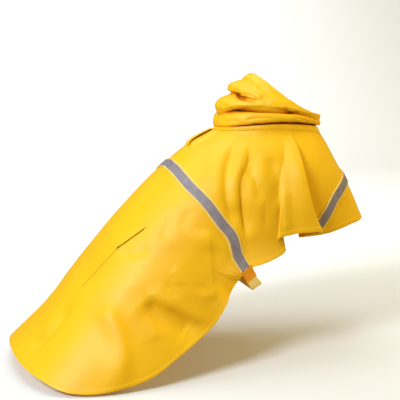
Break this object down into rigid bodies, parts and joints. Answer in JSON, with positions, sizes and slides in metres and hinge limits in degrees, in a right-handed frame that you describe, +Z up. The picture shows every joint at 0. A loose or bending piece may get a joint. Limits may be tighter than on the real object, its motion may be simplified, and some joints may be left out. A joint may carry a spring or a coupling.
{
  "type": "dog raincoat",
  "caption": "Dog raincoat in its worn form: hooded yellow poncho of coated cloth with grey reflective strips and an elastic belly strap",
  "frame": {"origin": "middle of the neck opening, where the wearer's neck carries the coat", "axes": "+X towards the wearer's head, +Y to the wearer's left, +Z up"},
  "size_m": [0.8236, 0.4709, 0.6188],
  "materials": {
    "coated_cloth": "smooth coated cloth with a soft sheen",
    "pale_binding": "satin",
    "reflective_tape": "satin grey",
    "elastic": "matt ribbed",
    "tab_cloth": "satin"
  },
  "bodies": {
    "root": {"rear_panel": "coated_cloth", "cape": "coated_cloth", "hood_right": "coated_cloth", "hood_left": "coated_cloth", "neckband": "coated_cloth", "back_strip_base": "pale_binding", "back_strip_tape": "reflective_tape", "chest_strip_base": "pale_binding", "chest_strip_tape": "reflective_tape", "pocket_welt": "coated_cloth", "leash_slot_flap": "coated_cloth", "belly_strap": "elastic", "strap_tab_right": "tab_cloth", "strap_tab_left": "tab_cloth"}
  },
  "joints": []
}
